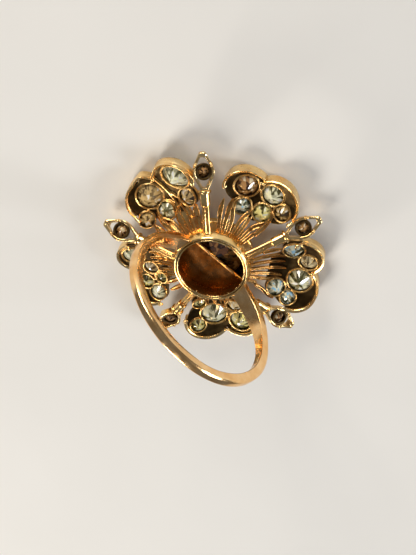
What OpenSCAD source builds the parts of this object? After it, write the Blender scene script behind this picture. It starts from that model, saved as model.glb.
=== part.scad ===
// Cocktail ring with a five-petal flower head set with old-cut stones.
// The ring lies head down: the finger hole's centre is the origin, the finger
// runs along Y, the flower faces -Z and the back of the band is at the top.
// All sizes are in millimetres.

/* [Shank] */
// Radius of the finger hole
finger_r = 8.65; // [8.3:0.05:9.2]
// Radial thickness of the band
band_t = 1.15; // [0.9:0.05:1.4]
// Width of the band at the back of the finger
band_w = 1.15; // [0.9:0.05:1.5]
// Width of the band at its shoulders, where it meets the head
shoulder_w = 1.9; // [1.6:0.1:2.3]

/* [Head tube] */
// Outer radius of the tube behind the flower
tube_r = 4.35; // [4.2:0.05:4.5]
// Wall thickness of the tube
tube_wall = 0.35; // [0.25:0.05:0.45]
// Length of the tube from its rim to the bezel
tube_l = 3.1; // [3:0.1:3.2]
// How far the lip below the tube's rim stands out
lip_w = 0.15; // [0.05:0.05:0.2]
// Wall thickness of the liner inside the tube
liner_wall = 0.15; // [0.1:0.05:0.2]
// Depth of the back plate below the tube's rim
plate_depth = 1.7; // [1.4:0.1:1.9]
// How far the cut edge of the back plate is from the middle
plate_cut = 0.65; // [0.2:0.05:1.5]

/* [Centre setting] */
// Radius of the centre stone
centre_r = 3.5; // [3.2:0.1:3.6]
// Height of the bezel that holds the centre stone
bezel_h = 1.1; // [1:0.05:1.2]

/* [Petals] */
// Thickness of a petal's plate
plate_t = 0.6; // [0.5:0.05:0.7]
// Radius of the shallow dome that each petal follows
dome_r = 9; // [8.5:0.1:10]
// Wall thickness of the rim band round a petal
rim_t = 0.3; // [0.25:0.05:0.35]
// How far the rim band stands above the back of the plate
rim_back = 0.25; // [0.1:0.05:0.3]
// How far the rim band reaches in front of the back of the plate
rim_front = 1.25; // [1:0.05:1.4]
// Wall thickness of the collar round each stone
collar_t = 0.2; // [0.15:0.05:0.25]
// Stones of this radius and more belong to a petal's large stones
large_from = 1.05; // [1:0.01:1.1]

/* [Ribs] */
// Number of ribs behind each petal
rib_count = 7; // [5:1:8]
// Width of a rib
rib_w = 0.42; // [0.3:0.02:0.46]
// Height of a rib
rib_h = 0.5; // [0.3:0.05:0.6]

/* [Sepals] */
// Length of a sleeve
sleeve_l = 1.8; // [1.5:0.1:2]
// Outer radius of a sleeve
sleeve_r = 0.56; // [0.52:0.02:0.62]
// Length of a sepal's leaf band
leaf_l = 4.2; // [3.9:0.1:4.4]
// Height of a sepal's leaf band
leaf_h = 0.9; // [0.6:0.05:1]
// Wall thickness of a sepal's leaf band
leaf_t = 0.26; // [0.2:0.02:0.3]
// Radius of the stone in a sepal
sepal_stone_r = 0.68; // [0.6:0.02:0.72]

/* [Hidden] */
$fn = 96;

// Five petals and five sepals alternate round the head.
petal_step = 360 / 5;
first_petal = 67;
first_sepal = 31;

// The tube's flat rim is where the finger hole's circle meets the tube's side.
rim_z = -sqrt(finger_r * finger_r - tube_r * tube_r);
tube_bottom = rim_z - tube_l;
// Depths below the rim where the tube's lip starts, is full and starts to narrow.
lip_foot = 1.3;
lip_full = 1;
lip_face = 0.75;
rim_bevel = 0.12;
liner_gap = 0.1;
liner_foot_h = 0.25;
plate_z = rim_z - plate_depth;
back_plate_t = 0.25;
girdle_h = 0.12;
culet = 0.12;
table = 0.5;
far = 30;

// The bezel holds the centre stone, whose back stays below the back plate.
bezel_seat = 0.35;
seat_w = 0.4;
centre_pavilion = 0.5;
centre_crown = 0.3;

// Shoulders: the band widens smoothly between these heights.
flare_top = -0.5;
flare_bottom = -7;
flare_steps = 10;

// Each petal follows a sphere whose middle is here, out from the head's axis
// and towards the finger. The back of the plate lies dome_r away from it.
dome_u = 10;
dome_z = -11.6 + dome_r;

// Stones of each petal: sideways place, distance from the head's axis, radius.
petal_stones = [
    [[-2.7, 9.3, 1.2], [2.9, 8.8, 0.85], [1.3, 9.6, 0.75], [-0.4, 8.2, 0.75], [1.2, 7.5, 0.6]],
    [[-1.3, 8.9, 1.4], [1.8, 10.0, 1.2], [-3.3, 10.3, 0.8], [-2.7, 6.9, 0.65], [1.3, 7.6, 0.8]],
    [[2.9, 8.6, 1.1], [-1.3, 10.2, 1.3], [1.5, 10.6, 0.95], [-2.6, 7.7, 0.95], [-3.6, 9.3, 0.75]],
    [[1.4, 9.6, 1.25], [-1.7, 10.2, 1.15], [0.6, 7.2, 0.85], [-1.8, 7.6, 0.95], [-3.6, 9.1, 0.85]],
    [[1.1, 10.0, 1.4], [-3.4, 10.3, 1.5], [0.6, 7.5, 0.95], [-2.7, 7.5, 0.95], [3.2, 8.1, 0.8]]];

// Round lobes of each petal's outline: sideways place, distance, radius. The
// small third circle of two petals makes the peak beside their notch.
petal_lobes = [
    [[1.8, 9.3, 2.45], [-2.4, 9.1, 2.3]],
    [[1.6, 9.5, 2.5], [-2.1, 9.6, 2.7]],
    [[2, 9.6, 2.7], [-2.2, 9.8, 2.8]],
    [[1.7, 9.35, 2.3], [-2.3, 9.6, 2.75], [0.5, 10.8, 0.8]],
    [[1.3, 9.7, 2.75], [-2.9, 10, 2.6], [0.4, 11.9, 0.8]]];
plate_start = 6.3;
rim_start = 9.2;
collar_h = 0.15;
girdle_depth = 0.16;

// Ribs start on the tube below the sepal stems and come down on the plates.
rib_step = 7.2;
rib_z = rim_z - 1.85;
rib_slope = 31;
rib_l = 3.6;

// Sepal stems leave the tube below its rim and slope away from the finger.
stem_slope = 20;
sleeve_start = 7.35;
sleeve_z = rim_z - 1.8;
flange_r = 0.76;
flange_l = 0.3;
sleeve_bore = 0.4;
wire_r = 0.23;
wire_side = 0.2;
plug_l = 0.7;
stem_l = (sleeve_start - tube_r) / cos(stem_slope);
leaf_turn = [32, -12, -30, -18, 14];

// The leaf band is widest round its collet, which it grips, and blunt at both ends.
collet_wall = 0.28;
collet_h = 0.7;
collet_bite = 0.03;
collet_r = sepal_stone_r + collet_wall;
leaf_end_w = 0.4;
leaf_mid_w = collet_r + leaf_t - collet_bite;
leaf_swell = 1.3;
leaf_steps = 24;

module at_petal(i)
    rotate([0, 0, first_petal + petal_step * (i - 1)])
        children();

module at_sepal(i)
    rotate([0, 0, first_sepal + petal_step * (i - 1)])
        translate([sleeve_start, 0, sleeve_z])
            rotate([0, stem_slope, 0])
                children();

// Puts children on a petal's dome above (v, u), with +Z pointing to the front.
module on_dome(v, u)
    translate([dome_u, 0, dome_z])
        rotate([0, 180 - asin(norm([u - dome_u, v]) / dome_r), atan2(v, u - dome_u)])
            children();

// A shell of the petal's dome between two distances in front of its back.
module dome_shell(back, front)
    translate([dome_u, 0, dome_z])
        difference() {
            sphere(r = dome_r + front);
            sphere(r = dome_r + back);
        }

// Upright prism through the head, on a flat outline seen from the finger.
module head_prism()
    translate([0, 0, -2 * far / 3])
        linear_extrude(far / 2)
            children();

// Old-cut stone: pavilion to the back, thin girdle at 0, crown with a flat table.
module old_cut(r, pavilion = 0.78, crown = 0.34)
    rotate_extrude()
        polygon([[0, -pavilion * r], [culet * r, -pavilion * r], [r, -girdle_h / 2],
            [r, girdle_h / 2], [table * r, crown * r], [0, crown * r]]);

// Round band with flat sides, cut to fit the tube at both ends.
module shank()
    color("goldenrod")
        difference() {
            intersection() {
                rotate([90, 0, 0])
                    difference() {
                        cylinder(r = finger_r + band_t, h = far, center = true);
                        cylinder(r = finger_r, h = far + 2, center = true);
                    }
                band_width();
            }
            tube_outside();
        }

// The band seen from the side along X: narrow at the top, wide at the head.
module band_width() {
    flare = [for (k = [0:flare_steps])
        let (t = k / flare_steps)
        [(band_w + (shoulder_w - band_w) * (1 - cos(180 * t)) / 2) / 2,
            flare_top + (flare_bottom - flare_top) * t]];
    right = concat([[band_w / 2, far / 2]], flare, [[shoulder_w / 2, -far / 2]]);
    left = [for (k = [len(right) - 1:-1:0]) [-right[k][0], right[k][1]]];
    rotate([90, 0, 90])
        linear_extrude(far, center = true)
            polygon(concat(right, left));
}

// The tube's outer form as a solid, with the lip below its rim.
module tube_outside()
    rotate_extrude()
        polygon([[0, tube_bottom], [tube_r, tube_bottom], [tube_r, rim_z - lip_foot],
            [tube_r + lip_w, rim_z - lip_full], [tube_r + lip_w, rim_z - lip_face],
            [tube_r - rim_bevel, rim_z], [0, rim_z]]);

// Tube that carries the flower, open at both ends, with a flat rim.
module centre_tube()
    color("gold")
        difference() {
            tube_outside();
            translate([0, 0, tube_bottom - 1])
                cylinder(r = tube_r - tube_wall, h = far / 2);
        }

// Thin ring inside the rim. Its foot touches the tube, its wall leaves a gap.
module tube_liner() {
    foot_r = tube_r - tube_wall;
    wall_r = foot_r - liner_gap;
    bore_r = wall_r - liner_wall;
    color("gold")
        translate([0, 0, plate_z])
            rotate_extrude()
                polygon([[bore_r, 0], [foot_r, 0], [foot_r, liner_foot_h], [wall_r, liner_foot_h],
                    [wall_r, plate_depth], [bore_r, plate_depth]]);
}

// Round plate inside the tube with one straight cut edge.
module back_plate()
    color("darkgoldenrod")
        translate([0, 0, plate_z - back_plate_t])
            intersection() {
                cylinder(r = tube_r - tube_wall, h = back_plate_t);
                translate([-far / 2, -plate_cut, -1])
                    cube([far, far, far]);
            }

// Bezel at the front of the tube. It closes on the stone's crown and pavilion.
module centre_bezel() {
    low = bezel_seat - girdle_h / 2;
    high = bezel_seat + girdle_h / 2;
    crown_slope = (centre_crown * centre_r - girdle_h / 2) / ((1 - table) * centre_r);
    pavilion_slope = (centre_pavilion * centre_r - girdle_h / 2) / ((1 - culet) * centre_r);
    outer_r = tube_r + 0.1;
    chamfer = 0.3;
    color("gold")
        translate([0, 0, tube_bottom - bezel_h])
            rotate_extrude()
                polygon([[centre_r - low / crown_slope, 0], [outer_r - chamfer, 0], [outer_r, chamfer],
                    [outer_r, bezel_h], [centre_r - seat_w, bezel_h],
                    [centre_r - seat_w, high + seat_w * pavilion_slope], [centre_r, high], [centre_r, low]]);
}

module centre_stone()
    color("lightyellow")
        translate([0, 0, tube_bottom - bezel_h + bezel_seat])
            mirror([0, 0, 1])
                old_cut(centre_r, centre_pavilion, centre_crown);

// Flat outline of a petal's lobes, made smaller by inset.
module lobes(i, inset)
    for (lobe = petal_lobes[i - 1])
        translate([lobe[1], lobe[0]])
            circle(r = lobe[2] - inset);

// Flat outline of a petal's plate: inside the rim, narrowing towards the tube.
module plate_outline(i)
    union() {
        lobes(i, rim_t);
        polygon([[plate_start, -1.4], [9, -3], [9, 3], [plate_start, 1.4]]);
    }

// Domed plate, with a collar and an open hole for each stone.
module petal_plate(i)
    color("goldenrod")
        at_petal(i)
            difference() {
                union() {
                    intersection() {
                        dome_shell(0, plate_t);
                        head_prism()
                            plate_outline(i);
                    }
                    for (s = petal_stones[i - 1])
                        on_dome(s[0], s[1])
                            translate([0, 0, dome_r - collar_h])
                                cylinder(r = s[2] + collar_t, h = collar_h + plate_t + collar_h);
                }
                for (s = petal_stones[i - 1])
                    on_dome(s[0], s[1])
                        translate([0, 0, dome_r - 1])
                            cylinder(r = s[2], h = 3);
            }

module rim_outline(i)
    intersection() {
        difference() {
            lobes(i, 0);
            lobes(i, rim_t);
        }
        translate([rim_start, -far / 2])
            square([far, far]);
    }

module petal_rim(i)
    color("gold")
        at_petal(i)
            intersection() {
                dome_shell(-rim_back, rim_front);
                head_prism()
                    rim_outline(i);
            }

module petal_stones(i, from, to)
    color("wheat")
        at_petal(i)
            for (s = petal_stones[i - 1])
                if (s[2] >= from && s[2] < to)
                    on_dome(s[0], s[1])
                        translate([0, 0, dome_r + girdle_depth])
                            old_cut(s[2]);

// Fan of flat strips that carry the petal from the tube.
module petal_ribs(i)
    color("orange")
        at_petal(i)
            difference() {
                for (k = [0:rib_count - 1])
                    rotate([0, 0, (k - (rib_count - 1) / 2) * rib_step])
                        translate([tube_r - 0.2, -rib_w / 2, rib_z])
                            rotate([0, rib_slope, 0])
                                translate([0, 0, -rib_h])
                                    cube([rib_l, rib_w, rib_h]);
                translate([0, 0, -far / 2])
                    cylinder(r = tube_r, h = far);
                intersection() {
                    dome_shell(0, 3);
                    head_prism()
                        polygon([[plate_start, -4], [12, -4], [12, 4], [plate_start, 4]]);
                }
                for (s = petal_stones[i - 1])
                    on_dome(s[0], s[1])
                        translate([0, 0, dome_r - 2])
                            cylinder(r = s[2] + collar_t, h = 4);
            }

// Two wires soldered side by side, with a plug that enters the sleeve.
module sepal_stem(i)
    color("orange")
        at_sepal(i)
            difference() {
                union() {
                    for (side = [-1, 1])
                        translate([0, side * wire_side, 0])
                            rotate([0, -90, 0])
                                cylinder(r = wire_r, h = stem_l + 1);
                    rotate([0, 90, 0])
                        cylinder(r = sleeve_bore, h = plug_l);
                }
                rotate([0, -stem_slope, 0])
                    translate([-sleeve_start, 0, -sleeve_z])
                        tube_outside();
            }

module sepal_sleeve(i)
    color("gold")
        at_sepal(i)
            rotate([0, 90, 0])
                rotate_extrude()
                    polygon([[sleeve_bore, 0], [sleeve_r, 0], [sleeve_r, sleeve_l - flange_l],
                        [flange_r, sleeve_l - flange_l], [flange_r, sleeve_l], [sleeve_bore, sleeve_l]]);

// Leaf outline along X from the sleeve: blunt at both ends, widest in the middle.
module leaf_outline(inset) {
    side = [for (k = [0:leaf_steps])
        let (t = k / leaf_steps, swell = pow(sin(180 * t), leaf_swell))
        [inset + (leaf_l - 2 * inset) * t, leaf_end_w + (leaf_mid_w - leaf_end_w) * swell - inset]];
    polygon(concat(side, [for (k = [leaf_steps:-1:0]) [side[k][0], -side[k][1]]]));
}

module at_leaf(i)
    at_sepal(i)
        translate([sleeve_l, 0, 0])
            rotate([leaf_turn[i - 1], 0, 0])
                children();

// Leaf band round the collet, with a tang that enters the sleeve.
module sepal_leaf(i)
    color("gold")
        at_leaf(i) {
            translate([0, 0, -leaf_h / 2])
                linear_extrude(leaf_h)
                    difference() {
                        leaf_outline(0);
                        leaf_outline(leaf_t);
                        translate([leaf_l / 2, 0])
                            circle(r = collet_r);
                    }
            translate([-plug_l, 0, 0])
                rotate([0, 90, 0])
                    cylinder(r = sleeve_bore, h = plug_l + leaf_t);
        }

module sepal_collet(i)
    color("gold")
        at_leaf(i)
            translate([leaf_l / 2, 0, -collet_h / 2])
                difference() {
                    cylinder(r = collet_r, h = collet_h);
                    translate([0, 0, -1])
                        cylinder(r = sepal_stone_r, h = collet_h + 2);
                }

module sepal_stone(i)
    color("sandybrown")
        at_leaf(i)
            translate([leaf_l / 2, 0, -0.05])
                mirror([0, 0, 1])
                    old_cut(sepal_stone_r);

shank();
centre_tube();
tube_liner();
back_plate();
centre_bezel();
centre_stone();
for (i = [1:5]) {
    petal_plate(i);
    petal_rim(i);
    petal_ribs(i);
    petal_stones(i, large_from, far);
    petal_stones(i, 0, large_from);
    sepal_stem(i);
    sepal_sleeve(i);
    sepal_leaf(i);
    sepal_collet(i);
    sepal_stone(i);
}
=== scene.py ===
"""Looks of the five-petal cocktail ring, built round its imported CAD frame.

Shapes are made in millimetres in the row frame: the finger runs along Y, the
flower faces -Z and the back of the band is at the top. piece() turns them into
metres, rides them on the body and hides the CAD nodes that they stand for.
"""
import math
import random

import bmesh
import bpy
import numpy as np
from mathutils import Matrix, Vector, noise


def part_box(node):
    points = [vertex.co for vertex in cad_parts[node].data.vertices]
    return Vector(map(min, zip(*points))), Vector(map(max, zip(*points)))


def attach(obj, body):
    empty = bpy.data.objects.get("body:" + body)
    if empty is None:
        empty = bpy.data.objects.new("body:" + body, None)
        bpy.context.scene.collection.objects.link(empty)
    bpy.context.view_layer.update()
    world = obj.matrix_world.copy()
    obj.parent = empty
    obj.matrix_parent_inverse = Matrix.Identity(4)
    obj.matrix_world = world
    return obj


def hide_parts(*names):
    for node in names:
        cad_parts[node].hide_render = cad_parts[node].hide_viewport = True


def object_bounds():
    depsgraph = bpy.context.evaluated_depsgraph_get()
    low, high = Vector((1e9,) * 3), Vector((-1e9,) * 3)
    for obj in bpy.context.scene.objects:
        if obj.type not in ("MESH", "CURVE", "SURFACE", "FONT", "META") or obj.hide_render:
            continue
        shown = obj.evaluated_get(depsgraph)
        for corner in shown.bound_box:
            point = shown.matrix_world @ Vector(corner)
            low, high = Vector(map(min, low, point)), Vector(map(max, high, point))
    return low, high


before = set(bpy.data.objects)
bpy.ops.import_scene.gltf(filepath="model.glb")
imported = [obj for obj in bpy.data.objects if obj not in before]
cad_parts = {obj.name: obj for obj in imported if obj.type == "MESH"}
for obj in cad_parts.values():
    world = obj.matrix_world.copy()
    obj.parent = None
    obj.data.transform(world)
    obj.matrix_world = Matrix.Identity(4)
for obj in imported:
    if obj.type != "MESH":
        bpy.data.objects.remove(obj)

cad_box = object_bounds()
MM = 0.001
# noise_vector takes its offsets from this seed, and from the clock without one.
noise.seed_set(7)

# ------------------------------------------------------------ driving sizes
# These are the CAD design's own values, in millimetres and degrees.
FINGER_R = 8.65
BAND_T = 1.15
BAND_W = 1.15
SHOULDER_W = 1.9
FLARE_TOP, FLARE_BOTTOM = -0.5, -7.0
TUBE_R = 4.35
TUBE_WALL = 0.35
LIP_W = 0.15
LIP_FOOT, LIP_FULL, LIP_FACE, RIM_BEVEL = 1.3, 1.0, 0.75, 0.12
LINER_WALL = 0.15
LINER_GAP = 0.1
LINER_FOOT = 0.25
SEAT_W = 0.4
SLEEVE_L = 1.8
SLEEVE_R = 0.56
SLEEVE_BORE = 0.4
FLANGE_R = 0.76
FLANGE_L = 0.3
LEAF_L = 4.2
LEAF_H = 0.9
LEAF_T = 0.26
LEAF_END_W, LEAF_MID_W, LEAF_SWELL = 0.4, 1.19, 1.3
COLLET_WALL = 0.28
COLLET_H = 0.7
STEM_SLOPE = 20
SLEEVE_START, SLEEVE_DEPTH = 7.35, 1.8
LEAF_TURN = [32, -12, -30, -18, 14]
FIRST_PETAL, FIRST_SEPAL, STEP = 67, 31, 72
DOME_U, DOME_Z, DOME_R = 10.0, -2.6, 9.0
DOME_MIDDLE = Vector((DOME_U, 0, DOME_Z))
RIM_T, RIM_BACK, RIM_FRONT, RIM_START = 0.3, 0.25, 1.25, 9.2
PLATE_START = 6.3
RIB_COUNT, RIB_STEP, RIB_SLOPE, RIB_DEPTH = 7, 7.2, 31, 1.85
# Sideways place, distance from the head's axis and radius.
PETAL_LOBES = [
    [(1.8, 9.3, 2.45), (-2.4, 9.1, 2.3)],
    [(1.6, 9.5, 2.5), (-2.1, 9.6, 2.7)],
    [(2, 9.6, 2.7), (-2.2, 9.8, 2.8)],
    [(1.7, 9.35, 2.3), (-2.3, 9.6, 2.75)],
    [(1.3, 9.7, 2.75), (-2.9, 10, 2.6)],
]
PETAL_PEAKS = {4: (0.5, 10.8, 0.8), 5: (0.4, 11.9, 0.8)}


def high(node):
    """The highest Z of a CAD node, in millimetres."""
    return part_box(node)[1].z / MM


def low(node):
    """The lowest Z of a CAD node, in millimetres."""
    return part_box(node)[0].z / MM


def low_corner(node):
    """The lowest corner of a CAD node's box, in millimetres."""
    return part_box(node)[0] / MM


RIM_Z = high("centre_tube")
TUBE_BOTTOM = low("centre_tube")
PLATE_Z = high("back_plate")
SLEEVE_Z = RIM_Z - SLEEVE_DEPTH
RIB_Z = RIM_Z - RIB_DEPTH


# ------------------------------------------------------------------- shapes
class Shape:
    """Points and faces of one piece, in millimetres."""

    def __init__(self):
        self.points, self.faces = [], []

    def add(self, points, faces):
        start = len(self.points)
        self.points += [Vector(p) for p in points]
        self.faces += [[start + k for k in face] for face in faces]

    def loft(self, rings, closed=False):
        """Joins rings that have the same number of points into a tube."""
        n = len(rings[0])
        last = len(rings) if closed else len(rings) - 1
        faces = []
        for a in range(last):
            b = (a + 1) % len(rings)
            for k in range(n):
                m = (k + 1) % n
                faces.append([a * n + k, a * n + m, b * n + m, b * n + k])
        if not closed:
            faces.append(list(reversed(range(n))))
            faces.append([(len(rings) - 1) * n + k for k in range(n)])
        self.add([p for ring in rings for p in ring], faces)

    def lathe(self, profile, place=Matrix(), steps=96, wobble=0.0):
        """Turns a closed outline of (radius, height) round the Z axis."""
        rings = []
        for k in range(steps):
            turn = math.tau * k / steps
            c, s = math.cos(turn), math.sin(turn)
            grow = 1 + wobble * noise.noise(Vector((2 * c, 2 * s, profile[0][1])))
            rings.append([place @ Vector((r * grow * c, r * grow * s, z)) for r, z in profile])
        self.loft(rings, closed=True)

    def tube(self, path, radii, sides=12, closed=False):
        """A round wire along a path; radii is one number or one for each point."""
        path = [Vector(p) for p in path]
        if not hasattr(radii, "__len__"):
            radii = [radii] * len(path)
        rings, side = [], None
        for k, point in enumerate(path):
            before = path[k - 1] if closed or k else path[0]
            after = path[(k + 1) % len(path)] if closed or k < len(path) - 1 else path[-1]
            along = (after - before).normalized()
            if side is None:
                side = along.orthogonal().normalized()
            side = (side - along * side.dot(along)).normalized()
            up = along.cross(side)
            rings.append([point + radii[k] * (side * math.cos(a) + up * math.sin(a))
                          for a in (math.tau * j / sides for j in range(sides))])
        self.loft(rings, closed=closed)

    def bead(self, centre, radius, squash=1.0, axis=Vector((0, 0, 1)), rows=7, sides=14):
        """A small ball of solder or metal, flattened along its axis."""
        axis = Vector(axis).normalized()
        side = axis.orthogonal().normalized()
        up = axis.cross(side)
        rings = []
        for j in range(rows):
            lean = math.pi * (0.04 + 0.92 * j / (rows - 1))
            r, h = radius * math.sin(lean), -radius * squash * math.cos(lean)
            rings.append([Vector(centre) + axis * h + r * (side * math.cos(a) + up * math.sin(a))
                          for a in (math.tau * k / sides for k in range(sides))])
        self.loft(rings)


def rounded(corners, radius, steps=3):
    """A closed outline of 2-D corners with each corner rounded."""
    outline = []
    n = len(corners)
    for k in range(n):
        before, at, after = (Vector(corners[(k + d) % n]) for d in (-1, 0, 1))
        a = at + (before - at).normalized() * min(radius, (before - at).length * 0.48)
        b = at + (after - at).normalized() * min(radius, (after - at).length * 0.48)
        for j in range(steps + 1):
            t = j / steps
            outline.append(a.lerp(at, t).lerp(at.lerp(b, t), t))
    return outline


def fused(shape, voxel, rounds, node=None):
    """The shape, with a CAD node if one is named, fused into one skin with worn edges."""
    points = [list(p) for p in shape.points]
    faces = [list(f) for f in shape.faces]
    if node:
        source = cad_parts[node].data
        start = len(points)
        points += [list(v.co / MM) for v in source.vertices]
        faces += [[start + k for k in p.vertices] for p in source.polygons]
    mesh = bpy.data.meshes.new("rough")
    mesh.from_pydata(points, [], faces)
    work = bmesh.new()
    work.from_mesh(mesh)
    bmesh.ops.remove_doubles(work, verts=work.verts, dist=1e-4)
    work.to_mesh(mesh)
    work.free()
    rough = bpy.data.objects.new("rough", mesh)
    bpy.context.scene.collection.objects.link(rough)
    remesh = rough.modifiers.new("skin", "REMESH")
    remesh.mode = "VOXEL"
    remesh.voxel_size = voxel
    smooth = rough.modifiers.new("wear", "SMOOTH")
    smooth.factor = 0.5
    smooth.iterations = rounds
    graph = bpy.context.evaluated_depsgraph_get()
    done = rough.evaluated_get(graph).to_mesh()
    skin = Shape()
    skin.points = [v.co.copy() for v in done.vertices]
    skin.faces = [list(p.vertices) for p in done.polygons]
    bpy.data.objects.remove(rough)
    return skin


def unevenness(shape, size, depth):
    """Moves the points a little, as hand finishing does. size is the width of a ripple."""
    for p in shape.points:
        p += depth * noise.noise_vector(p / size)


def piece(name, shape, material, nodes, sharp=40, flat=False):
    """Makes the object in metres, on the body, in place of its CAD nodes."""
    mesh = bpy.data.meshes.new(name)
    mesh.from_pydata([p * MM for p in shape.points], [], shape.faces)
    work = bmesh.new()
    work.from_mesh(mesh)
    bmesh.ops.recalc_face_normals(work, faces=work.faces)
    work.to_mesh(mesh)
    work.free()
    if not flat:
        mesh.shade_smooth()
        mesh.set_sharp_from_angle(angle=math.radians(sharp))
    materials = material if isinstance(material, list) else [material]
    for m in materials:
        mesh.materials.append(m)
    made = bpy.data.objects.new(name, mesh)
    bpy.context.scene.collection.objects.link(made)
    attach(made, "root")
    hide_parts(*nodes)
    return made


def turned(degrees, axis="Z"):
    return Matrix.Rotation(math.radians(degrees), 4, axis)


def at_petal(i):
    return turned(FIRST_PETAL + STEP * (i - 1))


def at_sepal(i):
    return (turned(FIRST_SEPAL + STEP * (i - 1))
            @ Matrix.Translation((SLEEVE_START, 0, SLEEVE_Z))
            @ turned(STEM_SLOPE, "Y"))


def at_leaf(i):
    return at_sepal(i) @ Matrix.Translation((SLEEVE_L, 0, 0)) @ turned(LEAF_TURN[i - 1], "X")


def dome(u, v, r=DOME_R):
    """The height of a petal's dome at a place in the petal's own plan."""
    return DOME_Z - math.sqrt(max(r * r - (u - DOME_U) ** 2 - v * v, 0.01))


# ------------------------------------------------------------------- stones
def stones_of(node):
    """Centre of the girdle, axis to the front and radius of each stone in a CAD node."""
    work = bmesh.new()
    work.from_mesh(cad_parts[node].data)
    bmesh.ops.remove_doubles(work, verts=work.verts, dist=1e-7)
    work.faces.ensure_lookup_table()
    left, found = set(work.faces), []
    while left:
        stack, island = [min(left, key=lambda f: f.index)], []
        left.discard(stack[0])
        while stack:
            face = stack.pop()
            island.append(face)
            for edge in face.edges:
                for other in edge.link_faces:
                    if other in left:
                        left.discard(other)
                        stack.append(other)
        # The table is flat, so its triangles share one normal and the most area.
        areas = {}
        for face in island:
            key = tuple(round(c, 2) for c in face.normal)
            areas[key] = areas.get(key, 0) + face.calc_area()
        axis = Vector(max(areas, key=areas.get)).normalized()
        points = {v.index: v.co / MM for face in island for v in face.verts}
        points = [points[k] for k in sorted(points)]
        middle = sum(points, Vector()) / len(points)
        heights = [(p - middle).dot(axis) for p in points]
        away = [(p - middle - axis * h).length for p, h in zip(points, heights)]
        r = max(away)
        girdle = [h for h, a in zip(heights, away) if a > 0.97 * r]
        found.append((middle + axis * (sum(girdle) / len(girdle)), axis, r))
    work.free()
    return sorted(found, key=lambda s: (-round(s[2], 3), round(s[0].x, 3)))


def cut_stone(shape, centre, axis, r, turn, pavilion=0.78, crown=0.34, oval=0.0):
    """An old cut: culet and table facets, eight mains and their halves on each side."""
    side = axis.orthogonal().normalized()
    place = Matrix((side, axis.cross(side), axis)).transposed().to_4x4()
    place.translation = centre
    place = place @ turned(turn)
    girdle, culet, table = 0.05, 0.13, 0.5
    star_r, half_r = 0.74, 0.36
    eighth = math.tau / 8
    points, faces = [], []

    def ring(radius, height, count, shift):
        start = len(points)
        for k in range(count):
            a = math.tau * (k + shift) / count
            points.append(place @ Vector((r * (1 + oval) * radius * math.cos(a),
                                          r * (1 - oval) * radius * math.sin(a), r * height)))
        return start

    lean = math.cos(eighth / 2)
    star_z = crown - (crown - girdle) * (star_r * lean - table) / (1 - table)
    half_z = -girdle - (pavilion - girdle) * (1 - half_r * lean) / (1 - culet * lean)
    tables = ring(table, crown, 8, 0)
    stars = ring(star_r, star_z, 8, 0.5)
    top = ring(1, girdle, 16, 0)
    bottom = ring(1, -girdle, 16, 0)
    halves = ring(half_r, half_z, 8, 0.5)
    culets = ring(culet, -pavilion, 8, 0.5)
    faces.append([tables + k for k in range(8)])
    faces.append([culets + k for k in reversed(range(8))])
    for k in range(8):
        m, back = (k + 1) % 8, (k - 1) % 8
        g, h, j = 2 * k, 2 * k + 1, (2 * k + 2) % 16
        faces += [
            [tables + k, stars + k, tables + m],
            [tables + k, stars + back, top + g, stars + k],
            [stars + k, top + g, top + h],
            [stars + k, top + h, top + j],
            [top + g, bottom + g, bottom + h, top + h],
            [top + h, bottom + h, bottom + j, top + j],
            [halves + k, bottom + h, bottom + g],
            [halves + k, bottom + j, bottom + h],
            [culets + back, culets + k, halves + k, bottom + g, halves + back],
        ]
    shape.add(points, faces)
    return len(faces)


# ---------------------------------------------------------------- materials
def material(name):
    m = bpy.data.materials.new(name)
    m.use_nodes = True
    tree = m.node_tree
    return m, tree, tree.nodes["Principled BSDF"]


def link(tree, a, b):
    tree.links.new(a, b)


def ripple(tree, scale, detail=3.0, stretch=(1, 1, 1), turn=(0, 0, 0)):
    """A noise texture fixed to the object. scale counts ripples in a metre."""
    place = tree.nodes.new("ShaderNodeTexCoord")
    mapping = tree.nodes.new("ShaderNodeMapping")
    mapping.inputs["Scale"].default_value = stretch
    mapping.inputs["Rotation"].default_value = turn
    texture = tree.nodes.new("ShaderNodeTexNoise")
    texture.inputs["Scale"].default_value = scale
    texture.inputs["Detail"].default_value = detail
    link(tree, place.outputs["Object"], mapping.inputs["Vector"])
    link(tree, mapping.outputs["Vector"], texture.inputs["Vector"])
    return texture.outputs["Fac"]


def ramp(tree, value, start, end, low=0.0, high=1.0):
    """Maps a value from start..end to low..high, and holds it at both ends."""
    node = tree.nodes.new("ShaderNodeMapRange")
    ends = (("From Min", start), ("From Max", end), ("To Min", low), ("To Max", high))
    for socket, number in ends:
        node.inputs[socket].default_value = number
    link(tree, value, node.inputs["Value"])
    return node.outputs["Result"]


def combine(tree, kind, a, b):
    node = tree.nodes.new("ShaderNodeMath")
    node.operation = kind
    node.use_clamp = True
    link(tree, a, node.inputs[0])
    link(tree, b, node.inputs[1])
    return node.outputs[0]


def blend(tree, share, a, b):
    """Mixes two colours; each is a colour or a socket."""
    node = tree.nodes.new("ShaderNodeMix")
    node.data_type = "RGBA"
    link(tree, share, node.inputs["Factor"])
    colours = [s for s in node.inputs if s.type == "RGBA"]
    for socket, colour in zip(colours, (a, b)):
        if isinstance(colour, bpy.types.NodeSocket):
            link(tree, colour, socket)
        else:
            socket.default_value = (*colour, 1)
    return [s for s in node.outputs if s.type == "RGBA"][0]


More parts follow.
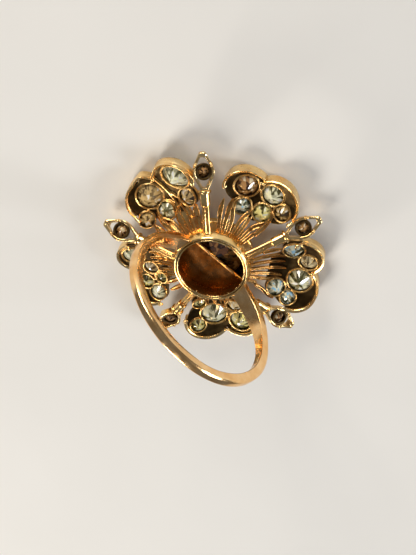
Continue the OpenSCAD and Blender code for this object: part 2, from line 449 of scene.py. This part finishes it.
def gold(name, bright, deep, patina_and_shade, shade_and_grime, rough, scratch, edge_wear=1.0, soot_and_shade=0.0,
         patchy_soot_and_shade=0.16, dull=0.4):
    """Worn gold: two tones, painted shade with grime in the hollows, bare edges, fine scratches.
    shade_and_grime is how much of the hollows, found by ambient occlusion, the painted shade
    takes, from 0 to 1. soot_and_shade is how much of the rest a dark film takes, a painted
    shade on sheltered backs along with tarnish, less patchy_soot_and_shade here and there, apart
    from the points that the mesh marks as bare. dull is the roughness that this darkening adds."""
    m, tree, shader = material(name)
    shader.inputs["Metallic"].default_value = 1.0
    cloud = ripple(tree, 700, 4)
    speck = ripple(tree, 5200, 3)
    tone = blend(tree, ramp(tree, cloud, 0.35, 0.65), deep, bright)
    # Painted shade: ambient occlusion darkens the hollows towards the patina colour, as shade falls there,
    # and stands also for grime.
    hidden = tree.nodes.new("ShaderNodeAmbientOcclusion")
    hidden.samples = 6
    hidden.inputs["Distance"].default_value = 0.0009
    shade = ramp(tree, hidden.outputs["AO"], 0.85, 0.35, 0.0, shade_and_grime)
    patchy = ramp(tree, speck, 0.3, 0.62, 0.35, 1.0)
    cover = combine(tree, "MULTIPLY", shade, patchy)
    # Painted shade: a dark film covers all but the bare points. It stands for the shade on sheltered backs
    # as well as for tarnish.
    if soot_and_shade:
        mark = tree.nodes.new("ShaderNodeAttribute")
        mark.attribute_name = "bare"
        film = ramp(tree, mark.outputs["Fac"], 0.2, 0.8, soot_and_shade, 0.0)
        film = combine(tree, "MULTIPLY", film, ramp(tree, cloud, 0.35, 0.6, 1.0, 1 - patchy_soot_and_shade))
        cover = combine(tree, "ADD", cover, film)
    shape = tree.nodes.new("ShaderNodeNewGeometry")
    bare = ramp(tree, shape.outputs["Pointiness"], 0.505, 0.56, 0.0, edge_wear)
    cover = combine(tree, "SUBTRACT", cover, bare)
    colour = blend(tree, cover, tone, patina_and_shade)
    link(tree, colour, shader.inputs["Base Color"])
    polish = ramp(tree, ripple(tree, 1500, 5), 0.3, 0.7, rough * 0.7, rough * 1.4)
    film_rough = ramp(tree, cover, 0.0, 1.0, 0.0, dull)
    link(tree, combine(tree, "ADD", polish, film_rough), shader.inputs["Roughness"])
    lines = ripple(tree, 900, 6, (1, 9, 1), (0.4, 0.3, 0.8))
    pits = ripple(tree, 3800, 2)
    relief = combine(tree, "ADD", ramp(tree, lines, 0, 1, 0, 0.5), ramp(tree, pits, 0, 1, 0, 0.5))
    bump = tree.nodes.new("ShaderNodeBump")
    bump.inputs["Strength"].default_value = scratch
    bump.inputs["Distance"].default_value = 0.00006
    link(tree, relief, bump.inputs["Height"])
    link(tree, bump.outputs["Normal"], shader.inputs["Normal"])
    return m


def gem(name, lit_tint, shaded_tint, flash_glint):
    """Cut stone. Each facet gets a random share that mixes a lit and a shaded tint, painted light
    and shade broken up by painted shards of reflection, and the highest shares get a painted flash."""
    m, tree, shader = material(name)
    shader.inputs["IOR"].default_value = 1.75
    shader.inputs["Specular IOR Level"].default_value = 0.7
    mark = tree.nodes.new("ShaderNodeAttribute")
    mark.attribute_name = "facet"
    place = tree.nodes.new("ShaderNodeTexCoord")
    painted_shards = tree.nodes.new("ShaderNodeTexVoronoi")
    painted_shards.inputs["Scale"].default_value = 2100
    split = tree.nodes.new("ShaderNodeSeparateColor")
    link(tree, place.outputs["Object"], painted_shards.inputs["Vector"])
    link(tree, painted_shards.outputs["Color"], split.inputs["Color"])
    # Painted light and shade: each facet's random share, with the painted shards, picks its lit or shaded
    # tint and its painted flash, and the lit facets let less light through.
    value = combine(tree, "ADD", ramp(tree, mark.outputs["Fac"], 0.0, 1.0, 0.0, 0.5),
                    ramp(tree, split.outputs["Red"], 0.0, 1.0, 0.0, 0.5))
    tint = blend(tree, ramp(tree, value, 0.30, 0.52), shaded_tint, lit_tint)
    tint = blend(tree, ramp(tree, value, 0.76, 0.78), tint, flash_glint)
    link(tree, tint, shader.inputs["Base Color"])
    link(tree, ramp(tree, value, 0.3, 0.6, 0.6, 0.1), shader.inputs["Transmission Weight"])
    link(tree, ramp(tree, ripple(tree, 4200, 3), 0.45, 0.8, 0.01, 0.08), shader.inputs["Roughness"])
    return m


# The dark colour of the patina, and of the painted shade in hollows and on sheltered backs.
PATINA_AND_SHADE = (0.07, 0.03, 0.008)
GOLD_SHANK = gold("gold_shank", (1.0, 0.67, 0.33), (0.88, 0.50, 0.19), PATINA_AND_SHADE, 0.25, 0.17, 0.14)
GOLD_BRIGHT = gold("gold_bright", (1.0, 0.74, 0.34), (0.90, 0.54, 0.17), PATINA_AND_SHADE, 0.6, 0.15, 0.15)
GOLD_RIM = gold("gold_rim", (1.0, 0.76, 0.38), (0.92, 0.58, 0.22), PATINA_AND_SHADE, 0.8, 0.22, 0.20)
GOLD_WARM = gold("gold_warm", (1.0, 0.64, 0.24), (0.86, 0.44, 0.13), (0.05, 0.018, 0.004),
                 1.0, 0.18, 0.12)
# The petal plates' backs are covered all over by the dark film, painted shade between the stones along with
# tarnish; the bare beads keep the metal tone.
GOLD_PLATE = gold("gold_plate", (0.98, 0.66, 0.28), (0.78, 0.44, 0.13), (0.030, 0.017, 0.006),
                  1.0, 0.26, 0.25, edge_wear=0.15, soot_and_shade=1.0, patchy_soot_and_shade=0.06, dull=0.2)
# The back plate deep in the tube is covered almost all over by a dark brown film, painted shade of the
# tube's inside along with tarnish.
GOLD_INSIDE = gold("gold_inside", (1.0, 0.74, 0.36), (0.90, 0.56, 0.20), (0.16, 0.042, 0.004),
                   0.4, 0.20, 0.08, edge_wear=0.0, soot_and_shade=1.0, patchy_soot_and_shade=0.05, dull=0.06)

GEMS = {
    "champagne": gem("stone_champagne", (1.0, 0.82, 0.46), (0.16, 0.09, 0.02), (1.0, 0.98, 0.88)),
    "olive": gem("stone_olive", (0.94, 0.86, 0.34), (0.10, 0.085, 0.015), (0.98, 0.98, 0.76)),
    "white": gem("stone_white", (1.0, 0.99, 0.68), (0.14, 0.13, 0.03), (0.96, 1.0, 0.98)),
    "ice": gem("stone_ice", (0.96, 0.98, 0.78), (0.10, 0.12, 0.06), (0.38, 0.72, 1.0)),
    "amber": gem("stone_amber", (0.68, 0.48, 0.20), (0.09, 0.05, 0.015), (1.0, 0.97, 0.88)),
    "brown": gem("stone_brown", (0.50, 0.26, 0.09), (0.07, 0.025, 0.006), (0.95, 0.80, 0.52)),
    "smoke": gem("stone_smoke", (0.24, 0.12, 0.04), (0.05, 0.02, 0.006), (0.62, 0.38, 0.15)),
}
GEM_NAMES = list(GEMS)

# The colour of each stone, from the largest to the smallest in its CAD node.
STONE_COLOURS = {
    "centre_stone": ["smoke"],
    "petal_1_large_stones": ["white"],
    "petal_1_small_stones": ["white", "olive", "champagne", "olive"],
    "petal_2_large_stones": ["white", "olive"],
    "petal_2_small_stones": ["champagne", "olive", "olive"],
    "petal_3_large_stones": ["white", "ice"],
    "petal_3_small_stones": ["champagne", "ice", "ice"],
    "petal_4_large_stones": ["brown", "white"],
    "petal_4_small_stones": ["olive", "amber", "ice"],
    "petal_5_large_stones": ["white", "amber"],
    "petal_5_small_stones": ["amber", "white", "amber"],
}


def stone_piece(node, pavilion=0.78, crown=0.34, wider=0.0):
    """The cut stones of a CAD node. wider, in millimetres, fills the worn hole."""
    rng = random.Random(node)
    shape, kinds = Shape(), []
    colours = STONE_COLOURS.get(node, ["brown"])
    for k, (centre, axis, r) in enumerate(stones_of(node)):
        count = cut_stone(shape, centre, axis, r + wider, rng.uniform(0, 45), pavilion,
                          crown, rng.uniform(-0.02, 0.0))
        kinds += [GEM_NAMES.index(colours[k % len(colours)])] * count
    made = piece(node + "_cut", shape, list(GEMS.values()), [node], flat=True)
    for face, kind in zip(made.data.polygons, kinds):
        face.material_index = kind
    share = [rng.random() for _ in kinds]
    made.data.attributes.new("facet", "FLOAT", "FACE").data.foreach_set("value", share)
    return made


# -------------------------------------------------------------------- shank
def band_half_width(z):
    t = min(max((z - FLARE_TOP) / (FLARE_BOTTOM - FLARE_TOP), 0), 1)
    return (BAND_W + (SHOULDER_W - BAND_W) * (1 - math.cos(math.pi * t)) / 2) / 2


def make_shank():
    """The band, swept from one side of the tube round to the other, with solder fillets."""
    shape, rings = Shape(), []
    steps, edge, bevel, sink = 220, 0.09, 0.26, 0.12
    fillet, fillet_reach = 0.16, 0.3
    outer = FINGER_R + BAND_T
    for k in range(steps + 1):
        s = 2 * k / steps - 1
        middle = FINGER_R + BAND_T / 2
        end = math.pi - math.asin(TUBE_R / middle)
        near = (1 - abs(s)) * end * middle
        swell = fillet * math.exp(-near / fillet_reach)
        half = band_half_width(middle * math.cos(s * end)) + swell
        # Filed bevels run along both outer edges.
        outline = rounded([(FINGER_R, -half), (outer + swell - bevel, -half),
                           (outer + swell, bevel - half), (outer + swell, half - bevel),
                           (outer + swell - bevel, half), (FINGER_R, half)], edge, 3)
        ring = []
        for rho, y in outline:
            stop = math.pi - math.asin(math.sqrt((TUBE_R - sink) ** 2 - y * y) / rho)
            turn = s * stop
            ring.append(Vector((rho * math.sin(turn), y, rho * math.cos(turn))))
        rings.append(ring)
    shape.loft(rings)
    unevenness(shape, 3.0, 0.05)
    piece("shank_band", shape, GOLD_SHANK, ["shank"], sharp=50)


# --------------------------------------------------------------------- head
def make_head():
    tube = Shape()
    bore = TUBE_R - TUBE_WALL
    profile = rounded([(bore, TUBE_BOTTOM), (TUBE_R, TUBE_BOTTOM), (TUBE_R, RIM_Z - LIP_FOOT),
                       (TUBE_R + LIP_W, RIM_Z - LIP_FULL), (TUBE_R + LIP_W, RIM_Z - LIP_FACE),
                       (TUBE_R - RIM_BEVEL, RIM_Z), (bore, RIM_Z)], 0.14, 5)
    tube.lathe(profile, steps=144, wobble=0.004)
    piece("centre_tube_turned", tube, GOLD_BRIGHT, ["centre_tube"])

    liner = Shape()
    wall = bore - LINER_GAP
    inside = wall - LINER_WALL
    foot = PLATE_Z + LINER_FOOT
    liner.lathe(rounded([(inside, PLATE_Z), (bore, PLATE_Z), (bore, foot), (wall, foot),
                         (wall, RIM_Z), (inside, RIM_Z)], 0.06), steps=144, wobble=0.006)
    rng = random.Random(4)
    for k in range(9):
        turn = math.radians(95 + 14 * k + rng.uniform(-5, 5))
        r = inside - 0.02 + rng.uniform(0, 0.08)
        liner.bead((r * math.cos(turn), r * math.sin(turn), RIM_Z - rng.uniform(0.02, 0.3)),
                   rng.uniform(0.05, 0.1), 0.8)
    piece("tube_liner_turned", liner, GOLD_BRIGHT, ["tube_liner"])

    # The cut edge of the plate is turned up into a bright lip.
    lip_line = Shape()
    cut = low_corner("back_plate").y + 0.08
    reach = math.sqrt(bore ** 2 - cut ** 2) - 0.05
    edge = [Vector((x * reach / 40, cut, PLATE_Z + 0.02)) for x in range(-40, 41)]
    lip_line.tube(edge, 0.1, 8)
    plate = fused(lip_line, 0.06, 2, "back_plate")
    bare = bare_share(plate.points, edge, 0.14, 0.2)
    for p in plate.points:
        p.z += 0.045 * noise.noise(Vector((p.x * 0.3 + 3, p.y * 0.4, 0)))
        p.z += 0.008 * noise.noise(Vector((p.x * 0.35 + p.y * 1.3, p.y * 0.2, 9)))
    made = piece("back_plate_hammered", plate, GOLD_INSIDE, ["back_plate"])
    made.data.attributes.new("bare", "FLOAT", "POINT").data.foreach_set("value", bare)

    bezel = Shape()
    lowest, highest = low("centre_bezel"), high("centre_bezel")
    stone, _, stone_r = stones_of("centre_stone")[0]
    outside = TUBE_R + 0.1
    seat = stone_r - SEAT_W
    profile = rounded([(stone_r - 0.28, lowest + 0.02), (stone_r + 0.15, lowest),
                       (outside - 0.12, lowest + 0.12), (outside, lowest + 0.45),
                       (outside, highest), (seat, highest), (seat, highest - 0.35),
                       (stone_r, stone.z)], 0.1, 4)
    bezel.lathe(profile, steps=144, wobble=0.004)
    piece("centre_bezel_turned", bezel, GOLD_BRIGHT, ["centre_bezel"])
    stone_piece("centre_stone", 0.5, 0.3)


# ------------------------------------------------------------------- petals
# How much wider than the drilled hole each worn hole and its stone are, in radius.
WORN_WIDER = 0.08


def petal_stones(i):
    """(u, v, radius, axis) of the stones in a petal's own plan, at the plate's back."""
    back = at_petal(i).inverted().to_3x3()
    found = []
    for node in (f"petal_{i}_large_stones", f"petal_{i}_small_stones"):
        for _, axis, r in stones_of(node):
            local = back @ axis
            at = DOME_MIDDLE + local * DOME_R
            found.append((at.x, at.y, r, local))
    return found


def widen_holes(skin, place, stones):
    """Wears each hole wider and its collar thinner."""
    reach = 0.35
    keep = (reach - WORN_WIDER) / reach
    heart = place @ DOME_MIDDLE
    for _, _, r, axis in stones:
        along = place.to_3x3() @ axis
        for p in skin.points:
            offset = p - heart
            out = offset - along * offset.dot(along)
            away = out.length
            if r - 0.1 < away < r + reach and offset.dot(along) > 0:
                p += out * ((r + WORN_WIDER + (away - r) * keep) / away - 1)


def bare_share(points, marks, inner, outer):
    """1 for points within inner of a mark and 0 beyond outer, in millimetres."""
    points, marks = np.array(points), np.array(marks)
    nearest = np.full(len(points), np.inf)
    for mark in marks:
        nearest = np.minimum(nearest, np.linalg.norm(points - mark, axis=1))
    return np.clip((outer - nearest) / (outer - inner), 0, 1).astype(np.float32)


def make_plate(i):
    """The pierced plate: a bead round each collar, grains between stones and a vein."""
    place, extra = at_petal(i), Shape()
    stones, marks = petal_stones(i), []
    bead_back, bead_out, bead_r, grain_r = 0.16, 0.12, 0.11, 0.17
    for u, v, r, axis in stones:
        side = axis.orthogonal().normalized()
        up = axis.cross(side)
        at = DOME_MIDDLE + axis * (DOME_R - bead_back)
        ring_r = r + bead_out
        path = [place @ (at + ring_r * (side * math.cos(a) + up * math.sin(a)))
                for a in (math.tau * k / 48 for k in range(48))]
        extra.tube(path, bead_r, 8, closed=True)
        marks += path
    for a in range(len(stones)):
        for b in range(a + 1, len(stones)):
            ua, va, ra, _ = stones[a]
            ub, vb, rb, _ = stones[b]
            apart = math.hypot(ua - ub, va - vb)
            if apart < ra + rb + 0.8:
                t = (ra + (apart - ra - rb) / 2) / apart
                u, v = ua + (ub - ua) * t, va + (vb - va) * t
                grain = place @ Vector((u, v, dome(u, v, DOME_R - 0.12)))
                extra.bead(grain, grain_r)
                marks.append(grain)
    if i == 5:
        # A forked bar between the two lobes, over the plate's back.
        fork = Vector((9.1, -1.05))
        for tip in ((11.9, -0.95), (7.2, -0.9), (8.0, -1.6)):
            path = [fork.lerp(Vector(tip), k / 16) for k in range(17)]
            path = [place @ Vector((u, v, dome(u, v, DOME_R - 0.14))) for u, v in path]
            extra.tube(path, 0.14, 8)
            marks += path
    skin = fused(extra, 0.055, 3, f"petal_{i}_plate")
    widen_holes(skin, place, stones)
    bare = bare_share(skin.points, marks, 0.16, 0.26)
    # The front of the plate is polished.
    heart = place @ DOME_MIDDLE
    front = [((p - heart).length - DOME_R - 0.4) / 0.1 for p in skin.points]
    bare = np.maximum(bare, np.clip(front, 0, 1)).astype(np.float32)
    unevenness(skin, 0.9, 0.03)
    made = piece(f"petal_{i}_plate_pierced", skin, GOLD_PLATE, [f"petal_{i}_plate"])
    made.data.attributes.new("bare", "FLOAT", "POINT").data.foreach_set("value", bare)


def lobe_radius(i, k, a):
    """A lobe's radius at an angle, with the petal's peak on its first lobe."""
    v, u, r = PETAL_LOBES[i - 1][k]
    if k == 0 and i in PETAL_PEAKS:
        peak_v, peak_u, peak_r = PETAL_PEAKS[i]
        at = math.atan2(peak_v - v, peak_u - u)
        rise = math.hypot(peak_u - u, peak_v - v) + peak_r - r
        r += rise * math.exp(-((a - at) * r / peak_r) ** 2)
    return r


def lobe_arc(i, k, count=64):
    """Plan points along one lobe's rim, from its outer side to the notch between the lobes."""
    (v, u, r), (other_v, other_u, other_r) = PETAL_LOBES[i - 1][k], PETAL_LOBES[i - 1][1 - k]
    sign = 1 if v > other_v else -1
    start = math.acos(max(-1, min(1, (RIM_START - u) / r)))
    apart = math.hypot(other_u - u, other_v - v)
    toward = math.atan2((other_v - v) * sign, other_u - u)
    reach = math.acos((apart ** 2 + r ** 2 - other_r ** 2) / (2 * apart * r))
    stop = toward + reach
    return [(a, u, v, r, sign)
            for a in (start + (stop - start) * j / (count - 1) for j in range(count))]


def make_rim(i):
    """Two grooved bands that follow the lobes, with claws at their ends and joint."""
    place, shape = at_petal(i), Shape()
    rng = random.Random(50 + i)
    half = RIM_T / 2
    groove = 0.09 if i != 4 else 0.02
    section = rounded([(-half, 0.03), (half + 0.03, 0.0), (half + 0.04, 0.2), (half - groove, 0.32),
                       (half, 0.44), (half, 0.98), (-half, 1.0)], 0.07)
    for k in (0, 1):
        arc = lobe_arc(i, k)
        lift = rng.uniform(-0.03, 0.03)
        rings = []
        for j, (a, u, v, _, sign) in enumerate(arc):
            ring = []
            t = j / (len(arc) - 1)
            thin = 0.75 + 0.25 * math.sin(math.pi * min(max(t, 0.03), 0.97)) ** 0.4
            for n, h in section:
                rr = lobe_radius(i, k, a) - half + n
                pu, pv = u + rr * math.cos(a), v + sign * rr * math.sin(a)
                mid = 0.5 + (h - 0.5) * thin
                back, front = dome(pu, pv, DOME_R - RIM_BACK), dome(pu, pv, DOME_R + RIM_FRONT)
                z = back + (front - back) * mid + lift * 0.5
                ring.append(place @ Vector((pu, pv, z)))
            rings.append(ring)
        shape.loft(rings)
        # A hooked claw at the outer end, which curls over the plate.
        a, u, v, r, sign = arc[0]
        hook, hook_steps = [], 8
        for j in range(hook_steps + 1):
            t = j / hook_steps
            rr = r - 0.1 - 0.35 * t * t
            b = a + 0.24 * math.sin(math.pi * t * 0.8)
            pu, pv = u + rr * math.cos(b), v + sign * rr * math.sin(b)
            rise = -0.05 + 0.5 * math.sin(math.pi * 0.7 * t)
            hook.append(place @ Vector((pu, pv, dome(pu, pv, DOME_R - RIM_BACK) + rise)))
        shape.tube(hook, [0.2 - 0.013 * j for j in range(hook_steps + 1)], 10)
        # A grain of metal where the band meets the notch.
        a, u, v, r, sign = arc[-1]
        grain_r = 0.2
        pu, pv = u + (r - grain_r) * math.cos(a), v + sign * (r - grain_r) * math.sin(a)
        grain = Vector((pu, pv, dome(pu, pv, DOME_R - RIM_BACK) + 0.03))
        shape.bead(place @ grain, grain_r, 0.8)
    unevenness(shape, 1.6, 0.05)
    piece(f"petal_{i}_rim_band", shape, GOLD_RIM, [f"petal_{i}_rim"], sharp=50)


# How much of its share of the fan each rib fills, and how far the ribs reach.
RIB_FILL = [0.66, 0.66, 0.46, 0.72, 0.98]
RIB_REACH = [8.0, 7.9, 8.6, 8.2, 8.2]


def make_ribs(i):
    """Strips that fan out from the tube, pass between the stones and end on the plate."""
    place, shape = at_petal(i), Shape()
    rng = random.Random(80 + i)
    stones = petal_stones(i)
    steps = 22
    slope = math.tan(math.radians(RIB_SLOPE))
    for k in range(RIB_COUNT):
        across = k - (RIB_COUNT - 1) / 2
        lean = math.radians(across * RIB_STEP)
        reach = RIB_REACH[i - 1] + rng.uniform(-0.4, 0.3) - 0.05 * abs(across)
        plan = []
        for j in range(steps + 1):
            d = TUBE_R - 0.12 + (reach - TUBE_R) * j / steps
            bend = lean * (1 + 0.10 * math.sin(math.pi * j / steps))
            plan.append(Vector((d * math.cos(bend), d * math.sin(bend))))
        for _ in range(40):
            for j in range(6, steps + 1):
                for u, v, r, _ in stones:
                    away = plan[j] - Vector((u, v))
                    lit_tint = r + 0.24
                    if away.length < lit_tint:
                        plan[j] += away.normalized() * (lit_tint - away.length) * 0.5
            plan = [plan[0]] + [plan[j] * 0.4 + (plan[j - 1] + plan[j + 1]) * 0.3
                                for j in range(1, steps)] + [plan[steps]]
        rings = []
        tall = 0.42
        for j, at in enumerate(plan):
            t = j / steps
            after, before = plan[min(j + 1, steps)], plan[max(j - 1, 0)]
            along = (after - before).normalized()
            side = Vector((-along.y, along.x))
            share = at.length * math.radians(RIB_STEP) * RIB_FILL[i - 1]
            w = share * (1 if t < 0.7 else 1 - 2.4 * (t - 0.7)) / 2
            on_line = RIB_Z - (at.length - TUBE_R) * slope
            on_plate = dome(at.x, at.y, DOME_R - 0.16)
            top = max(on_line, on_plate) if at.length > PLATE_START - 0.6 else on_line
            depth = tall * (1 - 0.55 * t)
            # Each strip is a shallow channel with raised edges.
            edge, dip = min(0.09, w * 0.3), 0.2 * min(1, w / 0.22)
            outline = rounded([(-w, -depth), (-w, 0.02), (-w + edge, 0.04), (-w + 2 * edge, -dip),
                               (w - 2 * edge, -dip), (w - edge, 0.04), (w, 0.02), (w, -depth)],
                              0.05, 3)
            rings.append([place @ Vector((at.x + side.x * s, at.y + side.y * s, top + h))
                          for s, h in outline])
        shape.loft(rings)
    unevenness(shape, 2.6, 0.04)
    piece(f"petal_{i}_ribs_fan", shape, GOLD_WARM, [f"petal_{i}_ribs"], sharp=50)


# ------------------------------------------------------------------- sepals
def make_stem(i):
    """Two wires side by side, soldered at the tube and plugged into the sleeve."""
    place, shape = at_sepal(i), Shape()
    length = (SLEEVE_START - TUBE_R) / math.cos(math.radians(STEM_SLOPE))
    for side in (-1, 1):
        path = []
        for j in range(13):
            t = j / 12
            x = -length - 0.15 + (length + 0.35) * t
            y = side * (0.22 - 0.03 * t)
            path.append(place @ Vector((x, y, 0.04 * math.sin(math.pi * t))))
        shape.tube(path, 0.21, 14)
    lean = place.to_3x3() @ Vector((1, 0, 0))
    shape.bead(place @ Vector((-length + 0.05, 0, -0.05)), 0.42, 0.5, lean)
    shape.bead(place @ Vector((0.15, 0, 0)), SLEEVE_BORE, 0.8, lean)
    skin = fused(shape, 0.04, 3)
    piece(f"sepal_{i}_stem_wires", skin, GOLD_WARM, [f"sepal_{i}_stem"])


def make_sleeve(i):
    shape = Shape()
    place = at_sepal(i) @ turned(90, "Y")
    shape.lathe(rounded([(SLEEVE_BORE, 0), (SLEEVE_R - 0.02, 0), (SLEEVE_R, 0.35),
                         (SLEEVE_R, SLEEVE_L - FLANGE_L), (FLANGE_R, SLEEVE_L - FLANGE_L + 0.03),
                         (FLANGE_R - 0.02, SLEEVE_L), (SLEEVE_BORE, SLEEVE_L)], 0.09, 4), place, 48, 0.02)
    piece(f"sepal_{i}_sleeve_turned", shape, GOLD_BRIGHT, [f"sepal_{i}_sleeve"])


def leaf_outline(steps=44):
    """Plan points of the leaf band: blunt at both ends, widest in the middle."""
    one_side = []
    for k in range(steps + 1):
        swell = math.sin(math.pi * k / steps) ** LEAF_SWELL if k < steps else 0
        one_side.append((LEAF_L * k / steps, LEAF_END_W + (LEAF_MID_W - LEAF_END_W) * swell))
    return one_side + [(x, -w) for x, w in reversed(one_side)]


def make_leaf(i):
    """Scalloped leaf band with a tang in the sleeve, a knob at its tip and side claws."""
    place, shape = at_leaf(i), Shape()
    outline = leaf_outline()
    n = len(outline)
    rings = []
    for k, (x, y) in enumerate(outline):
        before, after = Vector(outline[k - 1]), Vector(outline[(k + 1) % n])
        along = (after - before).normalized()
        out = Vector((-along.y, along.x))
        tall = LEAF_H * (0.5 + 0.07 * math.cos(4 * math.pi * x / LEAF_L))
        section = rounded([(-LEAF_T - 0.06, -tall), (0, -tall), (0.03, tall), (-LEAF_T - 0.02, tall)], 0.08)
        rings.append([place @ Vector((x + out.x * s, y + out.y * s, z)) for s, z in section])
    shape.loft(rings, closed=True)
    shape.tube([place @ Vector((x, 0, 0)) for x in (-0.6, -0.3, 0, 0.25)], 0.36, 16)
    claws = [(LEAF_L - 0.16, -0.12, 0.32), (LEAF_L - 0.16, 0.12, 0.32)]
    claws += [(LEAF_L * 0.68, side * 0.88, 0.22) for side in (-1, 1)]
    for x, y, size in claws:
        claw = [place @ Vector((x, y * g, z))
                for g, z in ((1, -0.42), (1, 0.0), (1, 0.38), (0.95, 0.5), (0.86, 0.56))]
        shape.tube(claw, [size * f for f in (0.9, 1.0, 1.0, 0.9, 0.5)], 12)
    skin = fused(shape, 0.04, 2)
    piece(f"sepal_{i}_leaf_band", skin, GOLD_RIM, [f"sepal_{i}_leaf"])


def make_collet(i):
    """The cup round the sepal's stone, with its edge pushed over the girdle."""
    shape = Shape()
    _, _, r = stones_of(f"sepal_{i}_stone")[0]
    place = at_leaf(i) @ Matrix.Translation((LEAF_L / 2, 0, 0))
    half = COLLET_H / 2
    outer = r + COLLET_WALL
    profile = rounded([(r, -half + 0.12), (r - 0.05, -half), (outer - 0.06, -half), (outer, -0.1),
                       (outer, half), (r + 0.02, half), (r, 0.1)], 0.06)
    shape.lathe(profile, place, 48, 0.01)
    piece(f"sepal_{i}_collet_cup", shape, GOLD_PLATE, [f"sepal_{i}_collet"])


make_shank()
make_head()
for i in range(1, 6):
    make_plate(i)
    make_rim(i)
    make_ribs(i)
    stone_piece(f"petal_{i}_large_stones", wider=WORN_WIDER)
    stone_piece(f"petal_{i}_small_stones", wider=WORN_WIDER)
    make_stem(i)
    make_sleeve(i)
    make_leaf(i)
    make_collet(i)
    stone_piece(f"sepal_{i}_stone")


# ------------------------------------------------------- floor, light, camera
# Half the side of the floor, in metres.
FLOOR_HALF = 1.5


def make_floor():
    m, tree, shader = material("floor_paper")
    tone = blend(tree, ramp(tree, ripple(tree, 40, 3), 0.3, 0.7), (0.80, 0.79, 0.77), (0.83, 0.82, 0.80))
    link(tree, tone, shader.inputs["Base Color"])
    shader.inputs["Roughness"].default_value = 0.75
    mesh = bpy.data.meshes.new("floor")
    z = cad_box[0][2]
    corners = [(x * FLOOR_HALF, y * FLOOR_HALF, z) for x, y in ((-1, -1), (1, -1), (1, 1), (-1, 1))]
    mesh.from_pydata(corners, [], [[0, 1, 2, 3]])
    mesh.materials.append(m)
    floor = bpy.data.objects.new("floor", mesh)
    bpy.context.scene.collection.objects.link(floor)


def softbox(name, place, size, watts, colour):
    """A square lamp that looks at the head of the ring. place and size in millimetres."""
    lamp = bpy.data.lights.new(name, "AREA")
    lamp.size = size * MM
    lamp.energy = watts
    lamp.color = colour
    made = bpy.data.objects.new(name, lamp)
    spot = Vector(place) * MM
    made.location = spot
    made.rotation_euler = (spot - Vector((0, 0, -6)) * MM).to_track_quat("Z", "Y").to_euler()
    bpy.context.scene.collection.objects.link(made)


make_floor()
softbox("key", (-40, 300, 200), 130, 1.0, (1.0, 0.94, 0.84))
softbox("side", (250, -150, 70), 130, 0.75, (1.0, 0.92, 0.80))
softbox("front", (-230, -200, 120), 100, 0.5, (0.96, 0.98, 1.0))

world = bpy.data.worlds.new("studio")
world.use_nodes = True
world.node_tree.nodes["Background"].inputs["Color"].default_value = (0.9, 0.93, 1.0, 1)
world.node_tree.nodes["Background"].inputs["Strength"].default_value = 0.17
bpy.context.scene.world = world
bpy.context.scene.view_settings.view_transform = "Standard"

# The camera looks down past the back of the band at the back of the head.
AZIMUTH, ELEVATION, ROLL = (math.radians(a) for a in (29.68, 53.78, 164.85))
DISTANCE = 180
FOCAL_LENGTH, SENSOR_WIDTH = 106.87, 36
AIM_RIGHT, AIM_UP = 0.8263, 3.3553
toward = Vector((math.cos(ELEVATION) * math.sin(AZIMUTH), -math.cos(ELEVATION) * math.cos(AZIMUTH),
                 math.sin(ELEVATION)))
level_right = Vector((0, 0, 1)).cross(toward).normalized()
level_up = toward.cross(level_right)
up = math.cos(ROLL) * level_up + math.sin(ROLL) * level_right
right = up.cross(toward)
lens = bpy.data.cameras.new("camera")
lens.lens = FOCAL_LENGTH
lens.sensor_width = SENSOR_WIDTH
lens.clip_start = 0.01
camera = bpy.data.objects.new("camera", lens)
place = Matrix((right, up, toward)).transposed().to_4x4()
place.translation = (AIM_RIGHT * right + AIM_UP * up + DISTANCE * toward) * MM
camera.matrix_world = place
bpy.context.scene.collection.objects.link(camera)
bpy.context.scene.camera = camera
